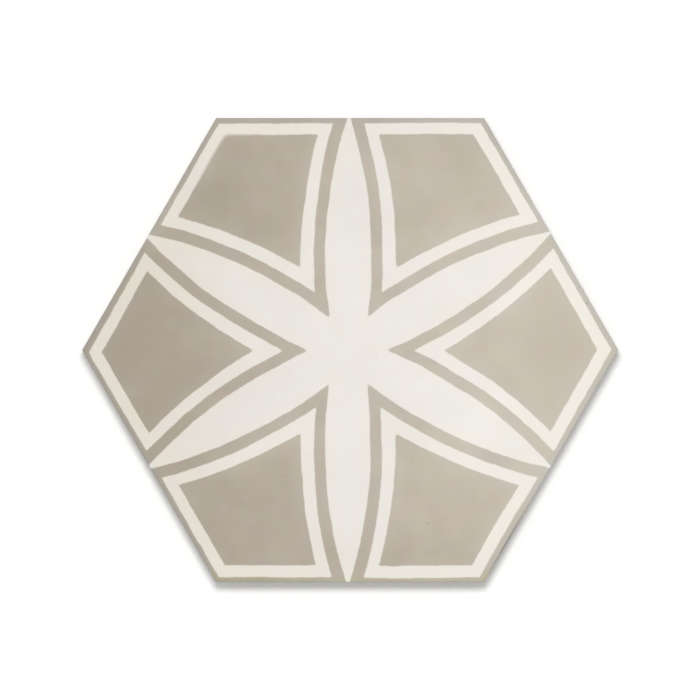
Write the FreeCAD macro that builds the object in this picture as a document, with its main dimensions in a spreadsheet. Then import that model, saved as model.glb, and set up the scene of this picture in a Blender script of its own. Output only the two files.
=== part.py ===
# Hexagon floor tile: one pressed cement tile, lying flat with its patterned face up.
# The origin is the middle of the flat back, +Z comes out of the face, +X points to a corner
# and +Y to the middle of a side. Lengths are in millimetres.
#
# The tile is one solid. Its pattern is poured flush with the face, so the pours add no
# material: each one only leaves its outline as edges on the face and down the colour layer.
import FreeCAD, Part
import math
import os
import Sketcher

NODE = "hexagon_tile"
SIDES = 6
FULL_TURN = 360
UP = FreeCAD.Vector(0, 0, 1)
CLOSE = 1e-6  # lengths nearer than this are the same, and so are volumes within this share

doc = FreeCAD.newDocument("HexagonFloorTile")

# Driving dimensions
DIMENSIONS = {
    # The pressed blank: the trade size of the hexagon, and the fine arris round its face
    "across_flats": 200,
    "thickness": 16,
    "face_arris": 0.5,
    # How deep the pigmented face layer goes
    "colour_layer": 3.5,
    # Flower: each petal is a lens of two equal arcs that meets its point past the tile's side
    "petal_half_width": 9.9,
    "petal_widest_at": 40.6,
    "petal_run_out": 2,
    # Ribbon of ground colour between a petal and the frames beside it
    "ribbon": 4.85,
    # White frames: the ground border outside them, and the width of their straight bands
    "border": 2.2,
    "frame_band": 5,
    # The frames' inner curve is struck flatter, so the curved band narrows towards the side
    "frame_shoulder": 5.85,
    "fill_widest_at": 36.85,
    "fill_arc_radius": 214.7,
    # Bend of the divider strips at every corner of the pattern
    "divider_bend": 0.9,
}

sizes = doc.addObject("Spreadsheet::Sheet", "Sizes")
for row, (alias, value) in enumerate(DIMENSIONS.items(), start=1):
    sizes.set(f"A{row}", alias)
    sizes.set(f"B{row}", str(value))
    sizes.setAlias(f"B{row}", alias)
doc.recompute()

# The petal's arc follows from its point, its widest place and its half width there.
REACH = "(Sizes.across_flats / 2 + Sizes.petal_run_out - Sizes.petal_widest_at)"
PETAL_RADIUS = f"({REACH} ^ 2 + Sizes.petal_half_width ^ 2) / (2 * Sizes.petal_half_width)"


def value_of(expression):
    """The number that an expression on the sheet gives now."""
    return float(sizes.evalExpression(expression.replace("Sizes.", "")))


def origin_feature(body, role):
    """A plane or axis of a body's own origin, by its role."""
    return next(feature for feature in body.Origin.OriginFeatures if feature.Role == role)


def new_body(name):
    """A body whose shape may be several solids, as the six frames are."""
    body = doc.addObject("PartDesign::Body", name)
    body.AllowCompound = True
    return body


def sketch_on_plan(body, name, height):
    """A sketch parallel to the back, at a height given by an expression."""
    sketch = body.newObject("Sketcher::SketchObject", name)
    sketch.AttachmentSupport = [(origin_feature(body, "XY_Plane"), "")]
    sketch.MapMode = "FlatFace"
    sketch.setExpression("AttachmentOffset.Base.z", height)
    return sketch


def bind(sketch, constraint, name, expression):
    """Adds a dimension to a sketch, named and tied to the sheet."""
    index = sketch.addConstraint(constraint)
    sketch.renameConstraint(index, name)
    sketch.setExpression(f"Constraints.{name}", expression)


def hexagon_sketch(body, name, height, half_flats):
    """A regular hexagon with corners on the X axis; half_flats is half its width over flats."""
    sketch = sketch_on_plan(body, name, height)
    half = value_of(half_flats)
    radius = half / math.cos(math.pi / SIDES)
    turns = [2 * math.pi * k / SIDES for k in range(SIDES)]
    corners = [FreeCAD.Vector(radius * math.cos(a), radius * math.sin(a), 0) for a in turns]
    lines = [
        sketch.addGeometry(Part.LineSegment(corners[k], corners[(k + 1) % SIDES]), False)
        for k in range(SIDES)
    ]
    circle = sketch.addGeometry(Part.Circle(FreeCAD.Vector(), UP, radius), True)
    sketch.addConstraint(Sketcher.Constraint("Coincident", circle, 3, -1, 1))
    for k, line in enumerate(lines):
        sketch.addConstraint(Sketcher.Constraint("Coincident", line, 2, lines[(k + 1) % SIDES], 1))
        sketch.addConstraint(Sketcher.Constraint("PointOnObject", line, 1, circle))
    for line in lines[1:]:
        sketch.addConstraint(Sketcher.Constraint("Equal", lines[0], line))
    sketch.addConstraint(Sketcher.Constraint("PointOnObject", lines[0], 1, -1))
    to_side = Sketcher.Constraint("Distance", -1, 1, lines[1], half)
    bind(sketch, to_side, "half_flats", half_flats)
    return sketch


def lens_sketch(body, name, height, widest_at, half_width, radius):
    """Two equal arcs along +Y that meet in a point at both ends, widest at widest_at."""
    sketch = sketch_on_plan(body, name, height)
    middle, half, arc = value_of(widest_at), value_of(half_width), value_of(radius)
    reach = math.sqrt(arc**2 - (arc - half) ** 2)
    swing = math.asin(reach / arc)
    right = Part.Circle(FreeCAD.Vector(half - arc, middle, 0), UP, arc)
    left = Part.Circle(FreeCAD.Vector(arc - half, middle, 0), UP, arc)
    right = sketch.addGeometry(Part.ArcOfCircle(right, -swing, swing), False)
    left = sketch.addGeometry(Part.ArcOfCircle(left, math.pi - swing, math.pi + swing), False)
    sketch.addConstraint(Sketcher.Constraint("Coincident", right, 2, left, 1))
    sketch.addConstraint(Sketcher.Constraint("Coincident", right, 1, left, 2))
    sketch.addConstraint(Sketcher.Constraint("Equal", right, left))
    sketch.addConstraint(Sketcher.Constraint("Symmetric", right, 3, left, 3, -2))
    bind(sketch, Sketcher.Constraint("Radius", right, arc), "radius", radius)
    to_middle = Sketcher.Constraint("DistanceY", -1, 1, right, 3, middle)
    bind(sketch, to_middle, "widest_at", widest_at)
    off_axis = Sketcher.Constraint("DistanceX", right, 3, -1, 1, arc - half)
    bind(sketch, off_axis, "centre_off_axis", f"{radius} - ({half_width})")
    return sketch


def pad(body, sketch, length):
    """Raises a sketch by an expression."""
    feature = body.newObject("PartDesign::Pad", sketch.Name.replace("Outline", "Pad"))
    feature.Profile = sketch
    feature.setExpression("Length", length)
    return feature


def round_the_tile(body, feature):
    """Repeats a feature at every side of the tile."""
    pattern = body.newObject("PartDesign::PolarPattern", feature.Name + "Round")
    pattern.Originals = [feature]
    pattern.Axis = (origin_feature(body, "Z_Axis"), [""])
    pattern.Angle = FULL_TURN
    pattern.Occurrences = SIDES
    body.Tip = pattern
    return pattern


def upright_edges(feature, within):
    """Names of a feature's edges that run straight up, no farther than within from the middle."""
    doc.recompute()
    names = []
    for number, edge in enumerate(feature.Shape.Edges, start=1):
        low, high = edge.Vertexes[0].Point, edge.Vertexes[-1].Point
        upright = math.hypot(low.x - high.x, low.y - high.y) < CLOSE
        if upright and math.hypot(low.x, low.y) < within:
            names.append(f"Edge{number}")
    return names


def bend_corners(body, feature, within):
    """Rounds a pour's corners as the divider strips are bent."""
    fillet = body.newObject("PartDesign::Fillet", feature.Name + "Bends")
    fillet.Base = (feature, upright_edges(feature, within))
    fillet.setExpression("Radius", "Sizes.divider_bend")
    return fillet


# Pressed blank: a hexagon slab with a fine arris round its face
blank = new_body("Blank")
outline = hexagon_sketch(blank, "BlankOutline", "0", "Sizes.across_flats / 2")
slab = pad(blank, outline, "Sizes.thickness")
doc.recompute()
face_edges = [
    f"Edge{number}"
    for number, edge in enumerate(slab.Shape.Edges, start=1)
    if edge.BoundBox.ZMin > value_of("Sizes.thickness") - CLOSE
]
arris = blank.newObject("PartDesign::Chamfer", "FaceArris")
arris.Base = (slab, face_edges)
arris.setExpression("Size", "Sizes.face_arris")

# The pours start at the foot of the colour layer and end flush with the face
LAYER_FOOT = "Sizes.thickness - Sizes.colour_layer"


def hexagon_pour(name, half_flats):
    """A hexagon as deep as the colour layer."""
    body = new_body(name)
    sketch = hexagon_sketch(body, name + "Outline", LAYER_FOOT, half_flats)
    pad(body, sketch, "Sizes.colour_layer")
    return body


def kite_pour(name, half_flats, widest_at, half_width, radius):
    """The kites left of a hexagon once a lens along each petal is cut through it."""
    body = hexagon_pour(name, half_flats)
    lens = lens_sketch(body, name + "Lens", LAYER_FOOT, widest_at, half_width, radius)
    cut = body.newObject("PartDesign::Pocket", name + "Cut")
    cut.Profile = lens
    cut.Reversed = True
    cut.setExpression("Length", "Sizes.colour_layer")
    cuts = round_the_tile(body, cut)
    bend_corners(body, cuts, math.inf)
    return body


# Ground pour: the greige layer over the whole face
ground = hexagon_pour("Ground", "Sizes.across_flats / 2")

# Flower pour: petals that grow together in the middle and run off the tile's sides
flower = new_body("Flower")
petal = lens_sketch(
    flower,
    "PetalOutline",
    LAYER_FOOT,
    "Sizes.petal_widest_at",
    "Sizes.petal_half_width",
    PETAL_RADIUS,
)
petals = round_the_tile(flower, pad(flower, petal, "Sizes.colour_layer"))
bend_corners(flower, petals, value_of("Sizes.petal_widest_at"))

# Frame pour: a kite between each pair of petals, less the ground-coloured fill inside it
kites = kite_pour(
    "Kites",
    "Sizes.across_flats / 2 - Sizes.border",
    "Sizes.petal_widest_at",
    "Sizes.petal_half_width + Sizes.ribbon",
    f"({PETAL_RADIUS} + Sizes.ribbon)",
)
fills = kite_pour(
    "Fills",
    "Sizes.across_flats / 2 - Sizes.border - Sizes.frame_band",
    "Sizes.fill_widest_at",
    "Sizes.petal_half_width + Sizes.ribbon + Sizes.frame_shoulder",
    "Sizes.fill_arc_radius",
)
frames = doc.addObject("Part::Cut", "Frames")
frames.Base = kites
frames.Tool = fills


def within_blank(pour, name):
    """A pour trimmed by the blank's sides and arris."""
    common = doc.addObject("Part::Common", name)
    common.Base = blank
    common.Tool = pour
    common.Refine = False
    return common


# The tile: the blank with its pours pressed into one piece, their outlines left on the face
tile = doc.addObject("Part::MultiFuse", "Tile")
tile.Label = NODE
tile.Shapes = [blank, within_blank(ground, "GroundLayer"), within_blank(flower, "FlowerInlay"), frames]
tile.Refine = False
tile.Placement = FreeCAD.Placement()
doc.recompute()


def check_model():
    """Stops unless every object is sound and the pours are flush with the blank."""
    for item in doc.Objects:
        failed = {"Invalid", "Error"} & set(item.State)
        if failed:
            raise RuntimeError(f"{item.Name} is {sorted(failed)}")
    shape = tile.Shape
    if shape.isNull() or not shape.isValid():
        raise RuntimeError(f"{tile.Label} has no valid shape")
    if len(shape.Solids) != 1:
        raise RuntimeError(f"{tile.Label} is {len(shape.Solids)} solids and should be one")
    added = abs(shape.Volume - blank.Shape.Volume)
    if added > CLOSE * blank.Shape.Volume:
        raise RuntimeError(f"The pours change the blank's volume by {added:.3f} cubic mm")


check_model()
os.makedirs("parts", exist_ok=True)
tile.Shape.exportStep(f"parts/{tile.Label}.step")
box = tile.Shape.BoundBox
print(f"{tile.Label}: {box.XLength:.2f} x {box.YLength:.2f} x {box.ZLength:.2f} mm,"
      f" {tile.Shape.Volume / 1000:.1f} cubic cm, {len(tile.Shape.Faces)} faces")
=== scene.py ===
# %% [markdown]
# # A hexagon floor tile in pressed cement
#
# This lesson dresses one tile. The real one is made in a mould: liquid colours are poured into
# the cells of a metal divider, the divider is lifted out, dry mortar goes on top, and a press
# turns the stack into one slab. So the face is smooth and flat, its colours lie side by side in
# one thin layer, and no joint between them is quite straight.
#
# The shape comes from a finished model of the slab, the frame. This script adds what the frame
# leaves out: worn edges, a sandy back, the poured colours, a light, a floor and a camera.

# %% Load the frame
import math

import bpy
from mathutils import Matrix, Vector, noise


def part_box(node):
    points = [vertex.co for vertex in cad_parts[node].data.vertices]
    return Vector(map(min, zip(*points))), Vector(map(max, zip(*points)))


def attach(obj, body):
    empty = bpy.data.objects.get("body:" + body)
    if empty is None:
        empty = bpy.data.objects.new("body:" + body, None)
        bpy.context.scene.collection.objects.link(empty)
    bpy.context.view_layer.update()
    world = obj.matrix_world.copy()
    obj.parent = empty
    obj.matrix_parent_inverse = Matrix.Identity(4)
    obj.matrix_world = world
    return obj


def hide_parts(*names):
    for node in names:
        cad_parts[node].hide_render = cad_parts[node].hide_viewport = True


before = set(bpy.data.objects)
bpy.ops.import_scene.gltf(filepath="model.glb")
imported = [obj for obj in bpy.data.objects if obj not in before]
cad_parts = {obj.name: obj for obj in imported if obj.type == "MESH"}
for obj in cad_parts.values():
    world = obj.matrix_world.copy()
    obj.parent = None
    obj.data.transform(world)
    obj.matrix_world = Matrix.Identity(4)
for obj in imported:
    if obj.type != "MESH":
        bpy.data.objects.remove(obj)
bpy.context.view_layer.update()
_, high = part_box("hexagon_tile")
MM = 0.001
SIDES = 6
THICKNESS = high.z
APOTHEM = high.y
REACH = APOTHEM / math.cos(math.pi / SIDES)  # from the middle to a corner
print(f"slab: {2 * APOTHEM / MM:.1f} mm across flats, {THICKNESS / MM:.1f} mm thick")

# %% [markdown]
# ## The slab's section
#
# A plain hexagon prism would look like cut paper. The real slab has a fine rounded arris round
# its face, a rougher heel round its back, and sides that the mould left upright. One way is to
# bevel a prism. Here the whole skin is laid in rings instead: round the edge of the face, down
# the sides and round the edge of the back. That puts points where the wear will need them. This
# first step only works out how far from the middle, and how high, each ring lies.

# %% Section of the edge
ARRIS = 0.5 * MM   # radius of the edge round the face
HEEL = 0.7 * MM    # radius of the edge round the back
ROUND = 4          # rings round each of these radii
SIDE_RINGS = 12    # rings down the sides
COLLAR = 0.3 * MM  # a ring this close inside an edge keeps the flat beside it flat


def edge_section():
    """(apothem, height) of each ring, from the face's edge down to the back's edge."""
    turns = [math.pi / 2 * i / ROUND for i in range(ROUND + 1)]
    section = [(APOTHEM - ARRIS - COLLAR, THICKNESS)]
    for turn in turns:
        inset, drop = ARRIS * (1 - math.sin(turn)), ARRIS * (1 - math.cos(turn))
        section.append((APOTHEM - inset, THICKNESS - drop))
    side_top, side_foot = THICKNESS - ARRIS, HEEL
    for i in range(1, SIDE_RINGS):
        section.append((APOTHEM, side_top + (side_foot - side_top) * i / SIDE_RINGS))
    for turn in turns:
        section.append((APOTHEM - HEEL * (1 - math.cos(turn)), HEEL * (1 - math.sin(turn))))
    section.append((APOTHEM - HEEL - COLLAR, 0))
    return section


section = edge_section()
print(f"{len(section)} rings from the face's edge to the back's edge")

# %% [markdown]
# ## Rings and walls
#
# A mesh is a list of points and a list of faces that join them. A square grid would leave ragged
# corners on a hexagon, so the points go in hexagon rings. Two rings with the same number of
# points are joined by a wall of quads, and that makes the slab's rounded edges and its sides.

# %% Rings and walls
STEPS = 96  # points along each side of the outer rings
points, faces = [], []


def lay_ring(apothem, height, steps):
    """Adds a hexagon ring with a corner on +X and gives its first point and its steps to a side."""
    start, reach = len(points), apothem / math.cos(math.pi / SIDES)
    turns = [2 * math.pi * k / SIDES for k in range(SIDES + 1)]
    corners = [Vector((reach * math.cos(a), reach * math.sin(a), height)) for a in turns]
    for here, there in zip(corners, corners[1:]):
        points.extend(here.lerp(there, i / steps) for i in range(steps))
    return start, steps


def join_wall(upper, lower):
    """Quads between two rings of equal steps."""
    (a, steps), (b, _) = upper, lower
    around = SIDES * steps
    for k in range(around):
        after = (k + 1) % around
        faces.append((a + k, b + k, b + after, a + after))


rings = [lay_ring(apothem, height, STEPS) for apothem, height in section]
for upper, lower in zip(rings, rings[1:]):
    join_wall(upper, lower)
print(f"edges and sides: {len(faces)} quads")

# %% [markdown]
# ## The flats
#
# The face and the back could each be one six-sided polygon, but it couldn't take the slow wave
# that the press leaves. So they are filled with rings as well. Each has one point fewer to a side
# than the ring outside it, which gives even triangles right to the middle.

# %% Fill the flats
def join_terrace(outer, inner, faces_up):
    """Triangles between a flat's ring and the next one in, which has one step fewer to a side."""
    (a, n), (b, m) = outer, inner
    for k in range(SIDES * n):
        side, i = divmod(k, n)
        a0, a1 = a + k, a + (k + 1) % (SIDES * n)
        b0 = b + (side * m + i) % max(SIDES * m, 1)
        b1 = b + (side * m + i + 1) % max(SIDES * m, 1)
        rows = [(a0, a1, b0)] + ([(b0, a1, b1)] if i < m else [])
        faces.extend(rows if faces_up else [row[::-1] for row in rows])


def fill_flat(rim, apothem, height, faces_up):
    """Fills a rim with ever smaller rings down to one point."""
    outer = rim
    for steps in range(STEPS - 1, 0, -1):
        inner = lay_ring(apothem * steps / STEPS, height, steps)
        join_terrace(outer, inner, faces_up)
        outer = inner
    points.append(Vector((0, 0, height)))
    join_terrace(outer, (len(points) - 1, 0), faces_up)


fill_flat(rings[0], *section[0], True)
fill_flat(rings[-1], *section[-1], False)
print(f"skin: {len(points)} points, {len(faces)} faces")

# %% [markdown]
# ## The skin
#
# The lists now become a mesh, and an object puts that mesh in the scene. Flat shading would show
# every little face, and a pressed slab has no such edges: even its sharpest one is a small round.
# So it is shaded smooth all over. The object stays at the origin, where the frame has the slab.

# %% Lay the skin
def put_in_scene(name, data):
    """Puts a mesh, a lamp or a camera in the scene as an object."""
    made = bpy.data.objects.new(name, data)
    bpy.context.scene.collection.objects.link(made)
    return made


tile_mesh = bpy.data.meshes.new("pressed_tile")
tile_mesh.from_pydata(points, [], faces)
tile_mesh.polygons.foreach_set("use_smooth", [True] * len(tile_mesh.polygons))
tile_mesh.update()
tile = put_in_scene("pressed_tile", tile_mesh)
print(f"{tile.name}: {tile.dimensions.x / MM:.1f} x {tile.dimensions.y / MM:.1f} mm")

# %% [markdown]
# ## Chance that stays the same
#
# Wear is uneven, so its marks need chance, but the same chance at every run. A displacement
# modifier would read it from a texture, the same for every part of the skin. Here the noise
# function that comes with Blender is read at each point's place, so that each mark can be kept to
# the edge or the side where it belongs.

# %% Lumps and masks
LUMP_GAIN = 0.6                # spreads the noise over nearly all of 0 to 1
SEED_STEP = (17.3, 5.9, 11.1)  # how far apart in the noise two seeds lie


def lumps(place, pitch, seed):
    """Smooth noise from 0 to 1 whose lumps are about a pitch apart."""
    spot = place / pitch + Vector([seed * step for step in SEED_STEP])
    return min(max(0.5 + LUMP_GAIN * noise.noise(spot), 0), 1)


def eased(value, start, end):
    """0 before start, 1 after end and smooth between."""
    share = min(max((value - start) / (end - start), 0), 1)
    return share * share * (3 - 2 * share)


def marked(place, depth, pitch, seed, rise=None):
    """A depth that follows the lumps. With a rise, only what stands higher than its start counts."""
    lump = lumps(place, pitch, seed)
    return depth * (eased(lump, *rise) if rise else lump)


print(f"a mask halfway up its rise: {eased(0.5, 0, 1):.2f}")

# %% [markdown]
# ## The face and its edges
#
# The press leaves the face almost flat, with a slow wave of a few hundredths of a millimetre. The
# arris loses crumbs when tiles are stacked, and the stretch at the lower right is rubbed. The
# heel breaks away in larger chips. All of it could be sculpted. Here a function gives a depth for
# each place instead, which is easy to read and to change.

# %% Marks of the face and its edges
FACE_WAVE = {"depth": 0.04 * MM, "pitch": 38 * MM, "seed": 1}
CRUMBS = {"depth": 0.25 * MM, "pitch": 2.6 * MM, "seed": 2, "rise": (0.6, 0.95)}
CHIPS = {"depth": 0.75 * MM, "pitch": 4.5 * MM, "seed": 5, "rise": (0.5, 0.9)}
FLAT_LEAN, EDGE_LEAN = 0.999, 0.9           # a normal's z on a flat and at the start of an edge
ARRIS_BAND, HEEL_BAND = 1.2 * MM, 2.0 * MM  # how far the wear reaches down and up the sides
RUBBED = Vector((70, -79, 16)) * MM
RUBBED_REACH, RUBBED_DEPTH = 30 * MM, 0.3 * MM


def edge_marks(place, normal):
    """How deep the face and both its edges are marked at a place."""
    depth = max(normal.z, 0) * marked(place, **FACE_WAVE)
    off_flat = eased(abs(normal.z), FLAT_LEAN, EDGE_LEAN)
    rubbed = RUBBED_DEPTH * eased((place - RUBBED).length, RUBBED_REACH, 0)
    at_arris = off_flat * eased(THICKNESS - place.z, ARRIS_BAND, 0)
    depth += at_arris * (marked(place, **CRUMBS) + rubbed)
    at_heel = off_flat * eased(place.z, HEEL_BAND, 0)
    return depth + at_heel * marked(place, **CHIPS)


print(f"crumbs up to {CRUMBS['depth'] / MM:.2f} mm deep, chips up to {CHIPS['depth'] / MM:.2f} mm")

# %% [markdown]
# ## Bare mortar
#
# Below the coloured layer the sides and the back are bare mortar, which was poured dry and only
# pressed. It has slow unevenness, a grain and small pits. A bump in the material would hardly
# show at the slab's outline, so these are in the mesh, and only the finest grit is left to bump.

# %% Marks of the mortar
MORTAR_WAVE = {"depth": 0.12 * MM, "pitch": 14 * MM, "seed": 3}
MORTAR_GRAIN = {"depth": 0.10 * MM, "pitch": 2.4 * MM, "seed": 4}
MORTAR_PITS = {"depth": 0.45 * MM, "pitch": 4.2 * MM, "seed": 6, "rise": (0.72, 0.95)}
LAYER, LAYER_FADE = 3.5 * MM, 1 * MM  # depth of the coloured layer, as in the frame's drawing


def mortar_marks(place):
    """How deep the bare mortar is marked at a place."""
    bare = eased(THICKNESS - place.z, LAYER - LAYER_FADE, LAYER + LAYER_FADE)
    return bare * sum(marked(place, **kind) for kind in (MORTAR_WAVE, MORTAR_GRAIN, MORTAR_PITS))


print(f"pits up to {MORTAR_PITS['depth'] / MM:.2f} mm deep")

# %% [markdown]
# ## Wear
#
# Each point is pushed in along its own normal by the depths above. One corner of this tile is
# blunt too. It could be cut off with a plane, but a cut would break up the even rings. So points
# beyond a limit are moved back to it instead, by less and less down the side. Points only move
# inwards, so the slab keeps its size.

# %% Wear the skin down
BLUNT_CORNER = math.radians(-60)
BLUNT = 0.5 * MM  # how much of that corner is gone


def blunted(place):
    """Moves a point near the blunt corner back to a small facet, deepest at the face."""
    away = Vector((math.cos(BLUNT_CORNER), math.sin(BLUNT_CORNER), 0))
    limit = REACH - BLUNT * eased(place.z, THICKNESS - LAYER, THICKNESS)
    over = place.dot(away) - limit
    return place - away * over if over > 0 else place


normals = [vertex.normal.copy() for vertex in tile_mesh.vertices]
deepest = 0
for vertex, normal in zip(tile_mesh.vertices, normals):
    depth = edge_marks(vertex.co, normal) + mortar_marks(vertex.co)
    deepest = max(deepest, depth)
    vertex.co = blunted(vertex.co - normal * depth)
tile_mesh.update()
print(f"deepest mark: {deepest / MM:.2f} mm")

# %% [markdown]
# ## A map for painting
#
# The finish below is worked out from each point's place, so it needs no map to render. A map is
# still useful: with it the finish can be painted into a picture for other programs. An automatic
# unwrap would cut the slab up. Here the face gets the most room, because the pattern is there,
# the sides are six strips, and the plain back takes the rest.

# %% Unwrap the slab
MARGIN = 0.006
FACE_SCALE, SIDE_SCALE, BACK_SCALE = 3.25, 2.4, 1.55  # map units to a metre
STRIPS_FROM, STRIP_PITCH, ROW_PITCH = 0.39, 0.30, 0.06
STRIPS_TO_A_ROW = 2
SIDE_LENGTH = REACH  # a hexagon's sides are as long as its reach
FLAT_SHARE = 0.7     # a face whose normal is this steep is on the face's or the back's island


def on_map(corner, normal):
    """Where a corner of a face with this normal lies on the map."""
    if normal.z > FLAT_SHARE:
        return MARGIN + (corner.x + REACH) * FACE_SCALE, 1 - MARGIN - (APOTHEM - corner.y) * FACE_SCALE
    if normal.z < -FLAT_SHARE:
        return MARGIN + (REACH - corner.x) * BACK_SCALE, MARGIN + (corner.y + APOTHEM) * BACK_SCALE
    side = int(math.degrees(math.atan2(normal.y, normal.x)) % 360 // (360 / SIDES))
    row, column = divmod(side, STRIPS_TO_A_ROW)
    turn = (2 * side + 1) * math.pi / SIDES
    along = corner.y * math.cos(turn) - corner.x * math.sin(turn) + SIDE_LENGTH / 2
    left, foot = STRIPS_FROM + column * STRIP_PITCH, MARGIN + row * ROW_PITCH
    return left + along * SIDE_SCALE, foot + corner.z * SIDE_SCALE


paint_map = tile_mesh.uv_layers.new(name="OFBake")
for polygon in tile_mesh.polygons:
    for loop in polygon.loop_indices:
        corner = tile_mesh.vertices[tile_mesh.loops[loop].vertex_index].co
        paint_map.data[loop].uv = on_map(corner, polygon.normal)
across = [entry.uv.x for entry in paint_map.data]
up = [entry.uv.y for entry in paint_map.data]
print(f"map from {min(across):.3f}, {min(up):.3f} to {max(across):.3f}, {max(up):.3f}")

# %% [markdown]
# ## Sums in the shader
#
# The pattern is drawn with distances: how far a point lies inside a petal, a frame or a fill.
# Such sums can be wired by hand in the shader editor, but that is slow to read. So a small class
# wraps one output of a node and takes Python's own + - * /, each of which adds a Math node.

# %% Wires
class Wire:
    """One output of a node. A sum with it adds a Math node."""

    def __init__(self, board, socket):
        self.board, self.socket = board, socket

    def __add__(self, other):
        return self.board.math("ADD", self, other)

    def __radd__(self, other):
        return self.board.math("ADD", other, self)

    def __sub__(self, other):
        return self.board.math("SUBTRACT", self, other)

    def __rsub__(self, other):
        return self.board.math("SUBTRACT", other, self)

    def __mul__(self, other):
        return self.board.math("MULTIPLY", self, other)

    def __rmul__(self, other):
        return self.board.math("MULTIPLY", other, self)

    def __truediv__(self, other):
        return self.board.math("DIVIDE", self, other)

    def __rtruediv__(self, other):
        return self.board.math("DIVIDE", other, self)

    def __neg__(self):
        return self.board.math("MULTIPLY", self, -1)

    def __abs__(self):
        return self.board.math("ABSOLUTE", self)


print("a wire can be added, subtracted, multiplied and divided")

# %% [markdown]
# ## The board
#
# The nodes of a material stand on a board, as parts of a circuit do. Each kind of node could have
# a function of its own. One method for them all is less to learn: it takes the node's type, then
# its settings, and then a value or a wire for each of its inputs.

# %% The board that nodes stand on
class Board:
    """The node tree of a material or of the world, under construction."""

    def __init__(self, owner):
        owner.use_nodes = True
        self.owner, self.tree = owner, owner.node_tree
        self.tree.nodes.clear()

    def node(self, kind, settings=None, inputs=None, output=0):
        """Makes a node: its settings first, then its inputs by name or number. Gives one output."""
        made = self.tree.nodes.new(kind)
        for name, value in (settings or {}).items():
            if name == "stops":
                self.set_stops(made.color_ramp, value)
            else:
                setattr(made, name, value)
        for name, value in (inputs or {}).items():
            if isinstance(value, Wire):
                self.tree.links.new(value.socket, made.inputs[name])
            else:
                made.inputs[name].default_value = value
        return Wire(self, made.outputs[output]) if made.outputs else None

    def set_stops(self, ramp, stops):
        """Sets a ramp's stops, each a position and a grey, with an ease between them."""
        ramp.interpolation = "EASE"
        for i, (position, grey) in enumerate(stops):
            stop = ramp.elements[i] if i < len(ramp.elements) else ramp.elements.new(1.0)
            stop.position = position
            stop.color = (grey, grey, grey, 1)

    def math(self, operation, *terms):
        """A sum of numbers."""
        return self.node("ShaderNodeMath", {"operation": operation}, dict(enumerate(terms)))

    def vector(self, operation, *terms, output=0):
        """A sum of vectors."""
        settings = {"operation": operation}
        return self.node("ShaderNodeVectorMath", settings, dict(enumerate(terms)), output)


print("the board takes any node")

# %% [markdown]
# ## Tools for painting
#
# A finish needs the same few moves again and again: a part of a vector, a soft step, a soft spot,
# a mix, a tint and noise. Node groups could hold them, but are long to write in a script. So they
# are methods of a second board, built on the first.

# %% Tools for painting
NOISE_STEP = (37.7, 13.1, 71.9)  # how far apart in the shader's noise two seeds lie


class PaintBoard(Board):
    """A board with the moves that a finish is painted with."""

    def scaled(self, vector, factor):
        """A vector times a number."""
        return self.node("ShaderNodeVectorMath", {"operation": "SCALE"}, {0: vector, 3: factor})

    def part(self, vector, axis):
        """One of the three numbers of a vector."""
        return self.node("ShaderNodeSeparateXYZ", {}, {0: vector}, axis)

    def ease(self, value, start, end):
        """0 before start, 1 after end and smooth between."""
        limits = {"Value": value, "From Min": start, "From Max": end, "To Min": 0.0, "To Max": 1.0}
        return self.node("ShaderNodeMapRange", {"interpolation_type": "SMOOTHSTEP"}, limits)

    def near(self, place, spot, start, end=0.0):
        """0 farther than start from a spot, 1 nearer than end and smooth between."""
        return self.ease(self.vector("DISTANCE", place, spot, output=1), start, end)

    def mix(self, share, first, second, blend="MIX"):
        """A colour between two colours."""
        settings = {"data_type": "RGBA", "blend_type": blend}
        return self.node("ShaderNodeMix", settings, {0: share, 6: first, 7: second}, 2)

    def tint(self, share, colour, tint):
        """A colour multiplied by a tint, as far as a share goes."""
        return self.mix(share, colour, tint, "MULTIPLY")

    def noise(self, place, wavelength, seed, detail=2.0, output="Fac"):
        """Soft noise around 0.5, with place and wavelength in the same unit."""
        place = self.vector("ADD", place, tuple(seed * step for step in NOISE_STEP))
        inputs = {0: place, "Scale": 1 / wavelength, "Detail": detail}
        return self.node("ShaderNodeTexNoise", {}, inputs, output)


print("the painting board is ready")

# %% [markdown]
# ## Colours as they look
#
# A colour is easiest to name by the codes, from 0 to 255, that it has on a screen. A shader needs
# the share of the light that the surface reflects. Blender's colour button would convert one by
# hand. A script does it with the curve that screens use: straight in the darks, then a power.

# %% Colours as they look
DARKS_END, DARKS_SLOPE = 0.04045, 12.92
CURVE_OFFSET, CURVE_POWER = 0.055, 2.4


def reflected(code):
    """The share of light behind one code of a screen."""
    level = code / 255
    if level <= DARKS_END:
        return level / DARKS_SLOPE
    return ((level + CURVE_OFFSET) / (1 + CURVE_OFFSET)) ** CURVE_POWER


def shade(red, green, blue):
    """A colour given by its codes, as the light that it reflects."""
    return (reflected(red), reflected(green), reflected(blue), 1.0)


print(f"a screen's middle grey reflects {reflected(128):.2f} of the light")

# %% [markdown]
# ## The divider
#
# The divider's cells are a flower of six petals, a ribbon of the ground colour round each petal,
# and between the petals white frames like kites, each with a smaller kite inside, the fill. Their
# curved strips are arcs of large circles. The pattern could be a picture wrapped on the face, but
# in close-up a picture turns soft. Written as sizes it stays crisp at any distance. The sizes
# follow the frame's own drawing to a fraction of a millimetre.

# %% Sizes of the divider, in millimetres
PETAL = {"widest_at": 40.6, "half_width": 9.9, "radius": 195.4}
RIBBON = {"widest_at": 41.95, "half_width": 14.73, "radius": 198.0}
FILL = {"widest_at": 36.85, "half_width": 20.58, "radius": 214.7}
FRAME_SIDE = 97.72  # from the middle to the frames' straight outer sides
FILL_SIDE = 92.72   # from the middle to the fills' straight outer sides
print(f"ribbons {RIBBON['half_width'] - PETAL['half_width']:.2f} mm wide at a petal's waist")

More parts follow.
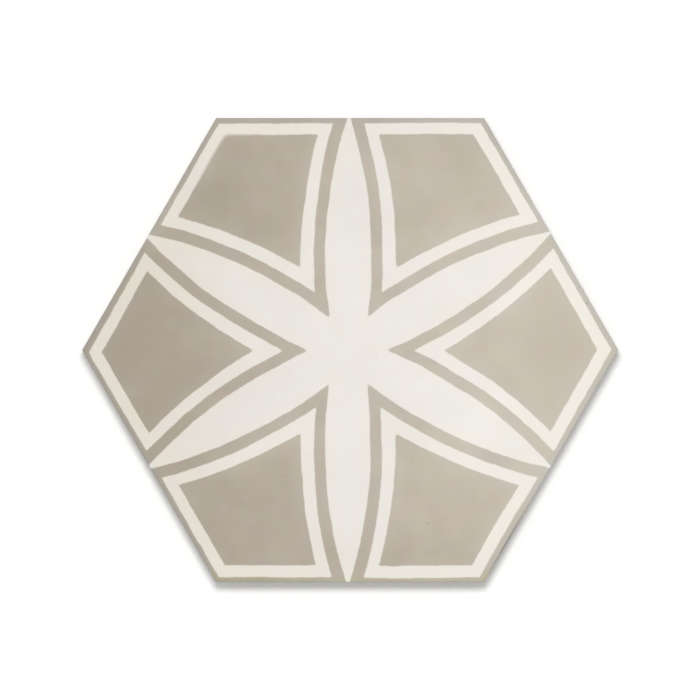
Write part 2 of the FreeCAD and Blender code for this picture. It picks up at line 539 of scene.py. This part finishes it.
# %% [markdown]
# ## One wedge for six
#
# The pattern repeats six times. Six copies of its sums would need six times the nodes, so it is
# drawn once. A point is folded into one wedge, between a petal's axis and the corner beside it.
# There u runs along the petal and v is the distance from its axis, and the petal's edge is an arc
# whose middle lies far on the other side of that axis.

# %% Fold a point into one wedge
HALF_TURN = math.pi / SIDES  # half the turn from one petal to the next


class Wedge:
    """A point of the face folded into one petal's wedge, and into the next petal's."""

    def __init__(self, board, x, y):
        reach = board.math("SQRT", x * x + y * y)
        turn = board.math("ARCTAN2", y, x)
        turn = abs(board.math("WRAP", turn - HALF_TURN, HALF_TURN, -HALF_TURN))
        self.board, self.reach = board, reach
        self.here = self.along(turn)
        self.next = self.along(2 * HALF_TURN - turn)

    def along(self, turn):
        """u along a petal's axis and v off it."""
        return self.reach * self.board.math("COSINE", turn), self.reach * self.board.math("SINE", turn)

    def lens(self, spot, widest_at, half_width, radius):
        """How far a spot lies inside a lens of two arcs."""
        du, dv = spot[0] - widest_at, spot[1] + (radius - half_width)
        return radius - self.board.math("SQRT", du * du + dv * dv)


print(f"{SIDES} petals, one every {math.degrees(2 * HALF_TURN):.0f} degrees")

# %% [markdown]
# ## Bent by hand
#
# A divider is bent and soldered from strip by hand. On this one the arms lean a little, and the
# divider, the frames' straight sides and the fills' straight sides each sat a little off their
# place. Each petal could be drawn for itself, at six times the work. Here each point is shifted
# the other way before the fold instead, and a ramp gives the lean of the arm that is nearest.

# %% Lean the arms
DIVIDER_SHIFT = (-0.8, -0.2)  # how far the divider sat from its place
FRAME_SHIFT = (-0.15, -0.13)  # the same for the frames' straight sides
FILL_SHIFT = (-0.44, 0.06)    # and for the fills' straight sides
LEANS = {-150: 0.33, -90: -0.2, -30: 0.07, 30: 0.27, 90: -0.14, 150: 0.15}  # by the arm's direction
LEAN_RANGE = 1.0  # the difference in lean between a ramp's black and its white
NEVER_ZERO = 1.0  # keeps the middle of the tile from a division by 0


def lean_arms(board, x, y):
    """Shifts a point sideways by the lean of the divider's nearest arm."""
    turn = board.math("ARCTAN2", y, x) / (2 * math.pi) + 0.5
    stops = [(direction / 360 + 0.5, 0.5 + lean / LEAN_RANGE) for direction, lean in LEANS.items()]
    ramp = board.node("ShaderNodeValToRGB", {"stops": stops}, {0: turn})
    lean = (ramp - 0.5) * LEAN_RANGE / board.math("SQRT", x * x + y * y + NEVER_ZERO)
    return x + y * lean, y - x * lean


print(f"the arms lean by {min(LEANS.values())} to {max(LEANS.values())} mm")

# %% [markdown]
# ## Wavering joints
#
# The strips are dented here and there, and liquid colour creeps under them, so every joint wavers
# by a fraction of a millimetre. Noise on the colours would only blur the joints. Moving the place
# before the pattern is drawn keeps them crisp: first by a few pushes, each at a spot where a
# strip was bent, and then by soft noise of several sizes.

# %% Let the joints waver
WANDERS = ((45, 1.3), (8, 0.7), (2.5, 0.3), (1.1, 0.3))  # wavelength and reach of each waver
WANDER_SEED = 1
NOISE_MIDDLE = (0.5, 0.5, 0.5)
PUSHES = (  # where a strip was bent, how far across the face, and its reach
    ((-96, 0), (0.45, -1), 60),
    ((-20, 0), (-1.2, 0.2), 18),
    ((14, 24), (0.4, 0.9), 16),
    ((-16, 27), (-0.4, 0.7), 12),
    ((64, -80), (-0.85, 0), 50),
    ((16, -100), (0, -0.65), 16),
    ((34, -100), (0, -0.4), 16),
    ((46, -9), (-0.35, -0.5), 18),
    ((-84, -37), (0.33, -0.45), 26),
    ((-40, -37), (-0.2, 0.45), 30),
    ((66, 53), (-0.2, 0.5), 35),
    ((62, 78), (0.35, 0.1), 22),
    ((36, 97), (0, 0.3), 36),
    ((-14, -80), (-0.4, 0), 35),
    ((8, -34), (-0.45, 0), 28),
    ((-46, -12), (-0.2, 0.3), 22),
    ((-49, 15), (0.17, 0.25), 24),
    ((45, 11), (0.15, -0.3), 18),
)


def wander(board, place):
    """Moves a place a little, so that every joint wavers as a hand-poured one does."""
    start = place
    for spot, push, reach in PUSHES:
        push = board.scaled((*push, 0), board.near(start, (*spot, 0), reach))
        place = board.vector("SUBTRACT", place, push)
    for seed, (wavelength, reach) in enumerate(WANDERS, WANDER_SEED):
        drift = board.noise(place, wavelength, seed, detail=1.0, output="Color")
        drift = board.vector("SUBTRACT", drift, NOISE_MIDDLE)
        place = board.vector("ADD", place, board.scaled(drift, reach))
    return place


print(f"{len(PUSHES)} bent places and wavers of {len(WANDERS)} sizes")

# %% [markdown]
# ## The pattern as distances
#
# Each cell of the divider becomes a distance that is positive inside. The flower is the largest
# of the petals' distances. A kite is the smallest of four: two arcs and two straight sides. Masks
# would say only which colour lies at a place, while a distance also says how near the joint is,
# and the colours need that. A bent strip has no quite sharp corner, so a smooth minimum rounds
# each by a little.

# %% Kites
TIP_BEND = 1.8   # reach of the rounding where two arcs meet in a kite's tip
FOOT_BEND = 0.9  # the same where an arc meets a straight side


def kite(board, curve, straight, lens, side, elbow):
    """How far a point lies inside a kite of two arcs and two straight sides."""
    arcs = [-curve.lens(spot, **lens) for spot in (curve.here, curve.next)]
    sides = [side - spot[0] for spot in (straight.here, straight.next)]
    arcs = board.math("SMOOTH_MIN", *arcs, TIP_BEND)
    sides = board.math("SMOOTH_MIN", *sides, elbow)
    return board.math("SMOOTH_MIN", arcs, sides, FOOT_BEND)


print(f"white frames {FRAME_SIDE - FILL_SIDE:.2f} mm wide along their straight sides")

# %% [markdown]
# ## The cells together
#
# In one corner of one fill the colours ran together before the press came down. It could be
# smudged by hand on a picture. Here a soft spot, `run`, says how much they ran at a place. Where
# it is 1, the fill's corner is rounder, and its joint will be wide and soft when it is painted.

# %% Cells of the divider
NOTCH_BEND = 2.4  # reach of the rounding in the notches between petals
ELBOW_BEND = 0.4  # the same where two straight sides meet
RUN_SPOT = (-57.0, 86.0, 0.0)
RUN_FROM, RUN_TO = 26.0, 6.0  # distances from that spot where the run starts and is full
RUN_BEND = 3.0                # what the run adds to the elbow's rounding


def cells(board, place, run):
    """How far a place lies inside the flower, the frames and the fills."""
    place = wander(board, place)
    x, y = board.part(place, 0), board.part(place, 1)
    outer = Wedge(board, x - FRAME_SHIFT[0], y - FRAME_SHIFT[1])
    inner = Wedge(board, x - FILL_SHIFT[0], y - FILL_SHIFT[1])
    divider = Wedge(board, *lean_arms(board, x - DIVIDER_SHIFT[0], y - DIVIDER_SHIFT[1]))
    petals = [divider.lens(spot, **PETAL) for spot in (divider.here, divider.next)]
    flower = board.math("SMOOTH_MAX", *petals, NOTCH_BEND)
    frames = kite(board, divider, outer, RIBBON, FRAME_SIDE, ELBOW_BEND)
    fills = kite(board, divider, inner, FILL, FILL_SIDE, ELBOW_BEND + run * RUN_BEND)
    return flower, frames, fills


print(f"a sound elbow is rounded over {ELBOW_BEND} mm, the run one over {ELBOW_BEND + RUN_BEND} mm")

# %% [markdown]
# ## Paler to the right
#
# The tile has two colours, a warm white and a greige, and neither is even. Both get paler from
# left to right, the greige more and the white less so. This is partly painted light, as if more
# light fell on the right side, and partly uneven tone in the pigment. A lamp at one side would look
# alike, but not stay put when the tile is turned. So it is painted into the pigment: one mask, made
# cloudy by noise of three sizes, mixes each colour between its two ends.

# %% Painted light, tone and clouds
# each colour's left and right ends; the paler right end is partly painted light
GREIGE_LEFT, GREIGE_RIGHT = shade(177, 166, 149), shade(210, 201, 185)
WHITE_LEFT, WHITE_RIGHT = shade(232, 227, 221), shade(247, 243, 239)
LIGHT_AND_TONE_REACH = 110.0                         # the painted light and tone grow from -this to +this along x
CLOUDS = ((80, 0.8), (26, 0.6), (7, 0.25))  # wavelength and strength of the soft clouds
CLOUD_SEED = 11


def cloudy(board, flat):
    """Soft clouds of every size, above and below 0."""
    total = 0.0
    for seed, (wavelength, strength) in enumerate(CLOUDS, CLOUD_SEED):
        total = (board.noise(flat, wavelength, seed) - 0.5) * strength + total
    return total


def painted_light_and_tone(board, flat):
    """The greige and the white, paler to the right: partly painted light, partly uneven tone."""
    light_and_tone = board.ease(board.part(flat, 0), -LIGHT_AND_TONE_REACH, LIGHT_AND_TONE_REACH) + cloudy(board, flat)
    greige = board.mix(light_and_tone, GREIGE_LEFT, GREIGE_RIGHT)
    white = board.mix(light_and_tone, WHITE_LEFT, WHITE_RIGHT)
    return greige, white


print(f"the bloom spreads over {2 * LIGHT_AND_TONE_REACH:.0f} mm")

# %% [markdown]
# ## Poured thick and thin
#
# Where the greige was poured thin or thick it dried paler or darker. Noise alone would put such
# patches anywhere. These are soft spots, listed one by one, and they only multiply the colour, so
# the painted light and tone under them, and their clouds, show through.

# %% Thick and thin
THICK_AND_THIN = (  # middle, reach and how much paler the greige is there
    ((-58, 65), 20, -0.10),
    ((-48, 84), 14, -0.08),
    ((-38, 52), 17, -0.08),
    ((-46, 38), 12, -0.06),
    ((-40, 9), 10, -0.07),
    ((8, 76), 26, 0.11),
    ((32, 88), 20, 0.06),
    ((42, 53), 18, 0.07),
    ((50, 78), 10, -0.05),
    ((84, 2), 22, -0.05),
    ((66, -15), 12, -0.05),
    ((62, -46), 14, -0.09),
    ((38, -57), 16, 0.05),
    ((46, -74), 13, 0.05),
    ((-13, -27), 13, -0.08),
    ((-23, -68), 10, -0.06),
    ((-52, -82), 16, 0.06),
    ((-71, -61), 15, 0.09),
    ((-56, -21), 16, 0.07),
    ((12, 58), 10, 0.05),
    ((26, 30), 10, 0.05),
    ((44, 10), 14, 0.06),
    ((-68, 27), 10, 0.04),
    ((30, 76), 26, 0.045),
    ((-45, 72), 14, -0.05),
    ((28, -74), 22, 0.025),
    ((72, -25), 12, -0.045),
    ((-68, -26), 12, 0.04),
)


def thick_and_thin(board, flat, greige):
    """The greige with its paler and darker patches."""
    for spot, reach, paler in THICK_AND_THIN:
        greige = board.scaled(greige, 1 + board.near(flat, (*spot, 0), reach) * paler)
    return greige


print(f"{len(THICK_AND_THIN)} patches")

# %% [markdown]
# ## Faint casts
#
# Here and there each colour took a faint cast, yellower or bluer, from what the mould still held.
# Coloured light would turn the hue too, but a cast belongs to the tile. So each is a soft spot
# again, and this kind tints the colour under it.

# %% Casts
GREIGE_CASTS = (  # middle, reach and tint
    ((30, 78), 34, (1, 1.014, 1.032, 1)),
    ((-32, 52), 20, (0.995, 0.982, 0.955, 1)),
    ((-53, 65), 18, (0.988, 0.998, 0.975, 1)),
    ((6, 90), 18, (1, 1.02, 1.045, 1)),
    ((-66, -63), 14, (1.005, 1.015, 1.04, 1)),
    ((25, -54), 22, (1.008, 1.018, 1.038, 1)),
    ((-33, -52), 18, (0.985, 0.98, 0.965, 1)),
)
WHITE_CASTS = (
    ((-97, 38), 60, (0.966, 0.962, 0.945, 1)),
    ((12, 80), 55, (1.006, 1.014, 1.036, 1)),
    ((12, -94), 60, (1, 1.012, 1.034, 1)),
    ((72, -42), 24, (0.975, 0.977, 0.98, 1)),
    ((-70, 76), 30, (0.97, 0.973, 0.974, 1)),
    ((-99, -24), 26, (0.977, 0.978, 0.964, 1)),
)


def cast_over(board, flat, colour, casts):
    """A colour with faint casts laid over it."""
    for spot, reach, cast in casts:
        colour = board.tint(board.near(flat, (*spot, 0), reach), colour, cast)
    return colour


print(f"{len(GREIGE_CASTS)} casts in the greige, {len(WHITE_CASTS)} in the white")

# %% [markdown]
# ## Duller outwards, and traces
#
# Both colours are duller towards the outside of the tile, but the ribbons less so. Beside a joint
# each takes a trace of its neighbour, for they met while both were wet. By hand, each joint would
# have to be followed with a brush. The distances are already there, so each effect is one tint with
# a share worked out from them.

# %% Duller outwards, and traces
DULL_GREIGE, DULL_WHITE = (0.872, 0.850, 0.830, 1), (0.977, 0.968, 0.927, 1)
RIBBON_CLEAR = 0.35  # how much less the ribbons dull outwards than the rest
TRACE_REACH = 7.0    # how far from a joint a trace is found
TRACE_GREIGE, TRACE_WHITE = (1.022, 1.043, 1.080, 1), (1.006, 0.993, 0.967, 1)
TRACE_RIBBON = (1.0, 1.014, 1.055, 1)  # a ribbon's greige has white on both sides already


def duller_outwards(board, flat, is_ribbon, greige, white):
    """Both colours, duller the farther out a place lies."""
    x, y = board.part(flat, 0), board.part(flat, 1)
    outward = (x * x + y * y) / (REACH / MM) ** 2
    greige_share = outward * (1 - is_ribbon * RIBBON_CLEAR)
    return board.tint(greige_share, greige, DULL_GREIGE), board.tint(outward, white, DULL_WHITE)


def traced(board, white_depth, is_ribbon, greige, white):
    """Both colours with a trace of the other beside each joint."""
    trace = 1 - board.ease(abs(white_depth), 0.0, TRACE_REACH)
    greige = board.tint(trace, greige, board.mix(is_ribbon, TRACE_GREIGE, TRACE_RIBBON))
    return greige, board.tint(trace, white, TRACE_WHITE)


print(f"traces within {TRACE_REACH:.0f} mm of a joint")

# %% [markdown]
# ## Hues and the tinted rim
#
# Pigment is never stirred quite evenly, so over the whole face lie faint clouds, some rosier and
# some greener, some bluer and some yellower. They are fainter on the white. The outermost few
# millimetres are tinted too, and differently along the tile's lower edge. A noise mask for
# each pair of hues and a band along the edge are enough for that.

# %% Hues and the rim
ROSY, OLIVE = (1.011, 0.989, 0.997, 1), (0.989, 1.011, 0.993, 1)
BLUISH, STRAW = (0.995, 0.995, 1.028, 1), (1.005, 1.005, 0.972, 1)
HUES = (  # the noise of each pair of hues, and the pair
    ({"wavelength": 9, "seed": 21, "detail": 3.0}, OLIVE, ROSY),
    ({"wavelength": 8, "seed": 22, "detail": 3.0}, STRAW, BLUISH),
)
HUE_RISE = (0.25, 0.75)        # where in the noise one hue ends and the other is full
EDGE_FROM, EDGE_TO = 3.4, 0.8  # the band beside the slab's edge that is tinted
EDGE_TINT, FOOT_TINT = (0.968, 1.012, 1.06, 1), (0.975, 1.02, 0.93, 1)
FACE_REACH = APOTHEM / MM


def with_hues(board, flat, share, colour):
    """A colour under faint clouds of two pairs of hues."""
    for cloud, first, second in HUES:
        turned = board.ease(board.noise(flat, **cloud), *HUE_RISE)
        colour = board.tint(share, colour, board.mix(turned, first, second))
    return colour


def with_rim(board, flat, at_edge, colour):
    """A colour with the tint of the rim, which is another at the tile's foot."""
    at_foot = board.ease(-board.part(flat, 1), FACE_REACH - 2 * EDGE_FROM, FACE_REACH - EDGE_FROM)
    return board.tint(at_edge, colour, board.mix(at_foot, EDGE_TINT, FOOT_TINT))


print(f"the rim's tint starts {EDGE_FROM} mm from the edge")

# %% [markdown]
# ## The poured colours
#
# Now the distances choose between the two colours. White lies inside the flower or a frame, but
# not inside a fill. A hard choice would give stair steps in the picture and a knife-cut joint,
# and the real joint is about half a millimetre soft, so each choice is an ease across the joint.

# %% Mix the colours
JOINT = 0.32      # half the softness of a sound joint between two colours
RUN_SOFT = 0.75   # what is added to that where the colours ran
WHITE_EVEN = 0.5  # how much fainter the hues are on the white


def poured_colours(board, flat, run):
    """The colour of the coloured layer at every place."""
    flower, frames, fills = cells(board, flat, run)
    soft = JOINT + run * RUN_SOFT
    in_white = board.ease(board.math("MAXIMUM", flower, frames), -JOINT, JOINT)
    is_white = in_white * (1 - board.ease(fills, -soft, soft))
    white_depth = board.math("MAXIMUM", flower, board.math("MINIMUM", frames, -fills))
    out = Wedge(board, board.part(flat, 0), board.part(flat, 1)).here[0]
    at_edge = board.ease(out, FACE_REACH - EDGE_FROM, FACE_REACH - EDGE_TO)
    is_ribbon = (1 - board.ease(fills, -JOINT, JOINT)) * (1 - at_edge)

    greige, white = painted_light_and_tone(board, flat)
    greige = cast_over(board, flat, thick_and_thin(board, flat, greige), GREIGE_CASTS)
    white = cast_over(board, flat, white, WHITE_CASTS)
    colours = duller_outwards(board, flat, is_ribbon, greige, white)
    colours = traced(board, white_depth, is_ribbon, *colours)
    colour = board.mix(is_white, *colours)
    colour = with_hues(board, flat, 1 - is_white * WHITE_EVEN, colour)
    return with_rim(board, flat, at_edge, colour)


print(f"one run joint, {2 * (JOINT + RUN_SOFT):.1f} mm wide instead of {2 * JOINT:.1f}")

# %% [markdown]
# ## Small marks
#
# These are the marks that show: dents that a grain of grit left in the face, each with a darker
# side of painted shade and a paler side of painted highlight, specks of dark sand, flecks of lime,
# a nick in one edge and a dark line along the rubbed one. Painting them by hand on a picture would
# do too. A stretched spot is enough for each, so one function places them all: it takes a point to
# the spot's own axes and eases by its distance.

# %% Spots on the face
DENTS = (  # middle, half length and half width, turn in degrees, strength
    ((-29.0, -54.8), (1.2, 0.5), 14, 1.0),
    ((11.9, -3.3), (1.2, 0.45), 62, 1.0),
    ((34.2, 86.2), (1.1, 0.4), 0, 0.6),
)
DARK_MARKS_AND_DENT_SHADE = (
    ((33.8, -74.6), (0.62, 0.62), 0, 0.40),
    ((42.4, -2.3), (0.40, 0.40), 0, 0.50),
    # the next three are the dents' darker sides: painted shade
    ((-29.0, -54.7), (1.2, 0.42), 14, 0.16),
    ((11.6, -3.4), (1.1, 0.35), 62, 0.16),
    ((33.5, 86.0), (1.1, 0.35), 0, 0.08),
    ((102.2, 20.2), (1.0, 0.6), -60, 0.45),
    ((67.4, -82.8), (21.0, 0.32), 60, 0.80),
)
PALE_MARKS_AND_DENT_HIGHLIGHTS = (
    # the first three are the dents' paler sides: painted highlight
    ((-28.8, -55.3), (1.4, 0.38), 12, 0.15),
    ((12.1, -3.2), (1.1, 0.35), 62, 0.50),
    ((37.9, 88.0), (1.5, 0.45), 4, 0.12),
    ((-109.7, 1.2), (0.5, 0.5), 0, 0.8),
)
SPECK_AND_DENT_SHADE, FLECK_AND_DENT_HIGHLIGHT = shade(120, 112, 102), shade(252, 250, 245)
SPOT_RIM, SPOT_CORE = 1.0, 0.2  # where in its half width a spot starts and is full


def spots(board, flat, marks):
    """The strength of the mark in the middle of each mark and 0 away from them all."""
    total = 0.0
    for (x, y), (half_length, half_width), turn, strength in marks:
        axes = {"Location": (x, y, 0), "Rotation": (0, 0, math.radians(turn))}
        axes |= {0: flat, "Scale": (half_length, half_width, 1)}
        spot = board.node("ShaderNodeMapping", {"vector_type": "TEXTURE"}, axes)
        away = board.vector("LENGTH", spot, output=1)
        total = board.ease(away, SPOT_RIM, SPOT_CORE) * strength + total
    return total


print(f"{len(DENTS)} dents, {len(DARK_MARKS_AND_DENT_SHADE)} dark marks, {len(PALE_MARKS_AND_DENT_HIGHLIGHTS)} pale marks")

# %% [markdown]
# ## Mortar and sand
#
# The sides below the coloured layer and the back are grey mortar, damper in some places than in
# others, with paler and darker grains of sand. Scattered pebbles of mesh would be too many to
# carry. Cells of the Voronoi texture do it: each cell draws by lot whether it holds a grain, of
# which colour and how broad, and a little noise on the place keeps the grains from being round.

# %% Colour of the mortar
MORTAR, MORTAR_DAMP = shade(164, 158, 147), shade(143, 138, 129)
DAMP = {"wavelength": 21, "seed": 21, "detail": 3.0}
SAND_PALE, SAND_DARK = shade(196, 188, 172), shade(98, 93, 87)
SANDS = (0.85, 0.45)  # mm between the coarse grains and between the fine ones
GRAIN_SHAPE = {"wavelength": 0.5, "seed": 25, "detail": 1.0, "output": "Color"}
GRAIN_UNEVEN = 0.35                   # how far that noise pulls a grain's rim
GRAIN_LEAST, GRAIN_RANGE = 0.12, 0.5  # a grain's radius in cells: the least and what chance adds
PALE_SHARE, DARK_SHARE = 0.26, 0.09   # how many of the grains are pale and how many dark
CRISP = 0.05                          # how softly a share of grains or a grain's rim ends


def mortar_colour(board, place):
    """Grey mortar with grains of sand, each pale, dark or the mortar's own colour."""
    body = board.mix(board.noise(place, **DAMP), MORTAR_DAMP, MORTAR)
    uneven = board.noise(place, **GRAIN_SHAPE)
    place = board.vector("ADD", place, board.scaled(uneven, GRAIN_UNEVEN))
    for pitch in SANDS:
        cell = {0: place, "Scale": 1 / pitch}
        chances = board.node("ShaderNodeTexVoronoi", {}, cell, "Color")
        kind, breadth = (board.node("ShaderNodeSeparateColor", {}, {0: chances}, i) for i in (0, 1))
        away = board.node("ShaderNodeTexVoronoi", {}, cell, "Distance")
        grain = board.ease(breadth * GRAIN_RANGE + GRAIN_LEAST - away, -CRISP, CRISP)
        is_pale = board.ease(kind, 1 - PALE_SHARE, 1 - PALE_SHARE + CRISP)
        is_dark = board.ease(kind, DARK_SHARE, DARK_SHARE - CRISP)
        body = board.mix(is_pale * grain, body, SAND_PALE)
        body = board.mix(is_dark * grain, body, SAND_DARK)
    return body


print(f"{PALE_SHARE:.0%} of the grains are pale and {DARK_SHARE:.0%} dark")

# %% [markdown]
# ## The finish of the slab
#
# The real slab is one casting. Two materials, one on the sides, would meet in a line of faces.
# One material covers it all, and its own height on the slab tells colour from mortar: the colours
# run a few millimetres down the sides and end in a wavy line. The face is dry and matt, with the
# fine tooth of the plate that pressed it, and the mortar is rougher still.

# %% Put the finish together
FOOT_WAVE = {"wavelength": 7, "seed": 22}  # the waves of the coloured layer's lower edge
FOOT_HEIGHT, FOOT_SOFT = 2.2, 0.25         # how high they are, and half the edge's softness
TOOTH = {"wavelength": 0.9, "seed": 23, "detail": 3.0}
GRIT = {"wavelength": 0.8, "seed": 24, "detail": 3.0}
MATT, TOOTH_MATT, MORTAR_MATT = 0.7, 0.12, 0.15       # roughness, and what tooth and mortar add
TOOTH_HIGH, DENT_DEEP, GRIT_HIGH = 0.006, 0.09, 0.25  # mm of relief
MIRRORED = 0.4                                        # how much a matt face still mirrors


def slab_finish():
    """The finish of the whole slab."""
    board = PaintBoard(bpy.data.materials.new("pressed cement"))
    place = board.scaled(board.node("ShaderNodeTexCoord", {}, {}, "Object"), 1 / MM)
    flat = board.vector("MULTIPLY", place, (1, 1, 0))
    run = board.near(flat, RUN_SPOT, RUN_FROM, RUN_TO)

    colour = poured_colours(board, flat, run)
    # dark marks with the painted shade of the dents, then pale marks with their painted highlight
    colour = board.mix(spots(board, flat, DARK_MARKS_AND_DENT_SHADE), colour, SPECK_AND_DENT_SHADE)
    colour = board.mix(spots(board, flat, PALE_MARKS_AND_DENT_HIGHLIGHTS), colour, FLECK_AND_DENT_HIGHLIGHT)
    foot = (THICKNESS - LAYER) / MM + (board.noise(place, **FOOT_WAVE) - 0.5) * FOOT_HEIGHT
    is_mortar = 1 - board.ease(board.part(place, 2) - foot, -FOOT_SOFT, FOOT_SOFT)
    colour = board.mix(is_mortar, colour, mortar_colour(board, place))

    tooth, grit = board.noise(place, **TOOTH), board.noise(place, **GRIT)
    roughness = MATT + tooth * TOOTH_MATT + is_mortar * MORTAR_MATT
    height = tooth * TOOTH_HIGH - spots(board, flat, DENTS) * DENT_DEEP + is_mortar * grit * GRIT_HIGH
    relief = board.node("ShaderNodeBump", {}, {"Height": height, "Distance": MM, "Strength": 1.0})
    surface = {"Base Color": colour, "Roughness": roughness, "Normal": relief}
    surface |= {"Specular IOR Level": MIRRORED}
    surface = board.node("ShaderNodeBsdfPrincipled", {}, surface)
    board.node("ShaderNodeOutputMaterial", {}, {"Surface": surface})
    return board.owner


tile_mesh.materials.append(slab_finish())
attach(tile, "root")
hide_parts("hexagon_tile")
print(f"finish: {len(tile_mesh.materials[0].node_tree.nodes)} nodes")

# %% [markdown]
# ## The floor
#
# The tile lies on a plain white floor. White that the eye sees round the object could come from
# more light, but that would bleach the tile. So the floor is a little brighter to the camera, and
# to what a shiny piece mirrors, than it is to the tile, and it still takes the tile's shadow. Far
# out, where little of the lamp's light falls, more is added, so it is white to the horizon.

# %% Floor
FLOOR_SIZE = 12.0
FLOOR_WHITE = (0.98, 0.98, 0.98, 1)
DARK, FULL_WHITE = (0, 0, 0, 1), (1, 1, 1, 1)
FLOOR_GLOW = 0.138             # brightness added to the floor for the camera alone
FAR_GLOW = 0.5                 # what is added far out as well
FADE_FROM, FADE_TO = 0.1, 1.5  # metres from the tile's middle


def seen_directly(board):
    """1 for rays that show the background itself, straight or in a mirror or glass."""
    kinds = ("Is Camera Ray", "Is Glossy Ray", "Is Transmission Ray")
    rays = [board.node("ShaderNodeLightPath", {}, {}, kind) for kind in kinds]
    return board.math("MAXIMUM", rays[0], board.math("MAXIMUM", rays[1], rays[2]))


floor_mesh = bpy.data.meshes.new("floor")
half = FLOOR_SIZE / 2
corners = [(-half, -half, 0), (half, -half, 0), (half, half, 0), (-half, half, 0)]
floor_mesh.from_pydata(corners, [], [(0, 1, 2, 3)])
floor = put_in_scene("floor", floor_mesh)
board = PaintBoard(bpy.data.materials.new("white floor"))
place = board.node("ShaderNodeTexCoord", {}, {}, "Object")
near_tile = board.near(place, (0, 0, 0), FADE_TO, FADE_FROM)
glow = seen_directly(board) * (FLOOR_GLOW + (1 - near_tile) * FAR_GLOW)
paint = {"Base Color": FLOOR_WHITE, "Roughness": 1.0, "Specular IOR Level": 0.0}
paint |= {"Emission Color": board.mix(glow, DARK, FULL_WHITE), "Emission Strength": 1.0}
paint = board.node("ShaderNodeBsdfPrincipled", {}, paint)
board.node("ShaderNodeOutputMaterial", {}, {"Surface": paint})
floor_mesh.materials.append(board.owner)
print(f"floor {FLOOR_SIZE:.0f} m wide")

# %% [markdown]
# ## The dome
#
# In a studio, pale walls light an object softly from all round. They could be built. The world's
# own colour does the same without a mesh, and past the end of the floor it is full white to the
# camera. Dome and lamp together light a level surface so that a colour looks as it is written.

# %% Dome
DOME = 0.43  # brightness of the dome

board = Board(bpy.data.worlds.new("pale dome"))
brightness = DOME + (1.0 - DOME) * seen_directly(board)
dome = board.node("ShaderNodeBackground", {}, {"Color": FULL_WHITE, "Strength": brightness})
board.node("ShaderNodeOutputWorld", {}, {"Surface": dome})
bpy.context.scene.world = board.owner
print(f"dome {DOME}")

# %% [markdown]
# ## The lamp
#
# One round lamp hangs almost overhead, a little towards the tile's far side. A sun would cast a
# shadow just as large as the tile. The lamp hangs only two metres up, as in a small studio, so
# its shadow is a little larger and peeps out round the lower edges. Its face is turned towards a
# spot in front of the tile, which evens out the light from the tile's far side to its near side.

# %% Lamp
LAMP = 0.527  # what the lamp adds on a level surface
LAMP_AWAY = 2.0
LAMP_SPREAD = math.radians(6.5)                      # half the angle that the lamp fills
LAMP_LEAN = (math.radians(-1.0), math.radians(9.9))  # from straight up, towards +X and +Y
LAMP_AIM = Vector((0, -0.9, 0))                      # the spot on the floor that it faces

lamp_data = bpy.data.lights.new("round lamp", "AREA")
lamp_data.shape = "DISK"
lamp_data.size = 2 * LAMP_AWAY * math.tan(LAMP_SPREAD)
towards = Vector((math.tan(LAMP_LEAN[0]), math.tan(LAMP_LEAN[1]), 1)).normalized()
facing = (towards * LAMP_AWAY - LAMP_AIM).normalized()
lamp_data.energy = LAMP * math.pi**2 * LAMP_AWAY**2 / (towards.z * towards.dot(facing))
lamp = put_in_scene("round lamp", lamp_data)
lamp.location = towards * LAMP_AWAY
lamp.rotation_euler = facing.to_track_quat("Z", "Y").to_euler()
print(f"lamp {LAMP}, {lamp_data.size:.2f} m wide, {lamp_data.energy:.0f} W")

# %% [markdown]
# ## Camera
#
# The photograph was taken square on from above, from so far away that the floor, which lies lower
# than the face, looks as large as it. An orthographic camera would show just that, but a real one
# stands somewhere, and a very long lens comes nearest to it. Its height follows from how wide the
# tile is in the picture.

# %% Camera
PICTURE = 700                   # pixels across the picture
TILE_WIDE = 536.0               # pixels from corner to corner of the tile in it
TILE_MIDDLE = (350.15, 350.05)  # the tile's middle, in pixels from the top left
LENS, SENSOR = 1000.0, 36.0

pixel = 2 * REACH / TILE_WIDE
away = PICTURE * pixel * LENS / SENSOR
camera_data = bpy.data.cameras.new("camera")
camera_data.lens, camera_data.sensor_width = LENS, SENSOR
camera = put_in_scene("camera", camera_data)
right, down = (middle - PICTURE / 2 for middle in TILE_MIDDLE)
camera.location = (-right * pixel, down * pixel, THICKNESS + away)
bpy.context.scene.camera = camera
bpy.context.scene.view_settings.view_transform = "Standard"
print(f"camera {away:.2f} m above the face")
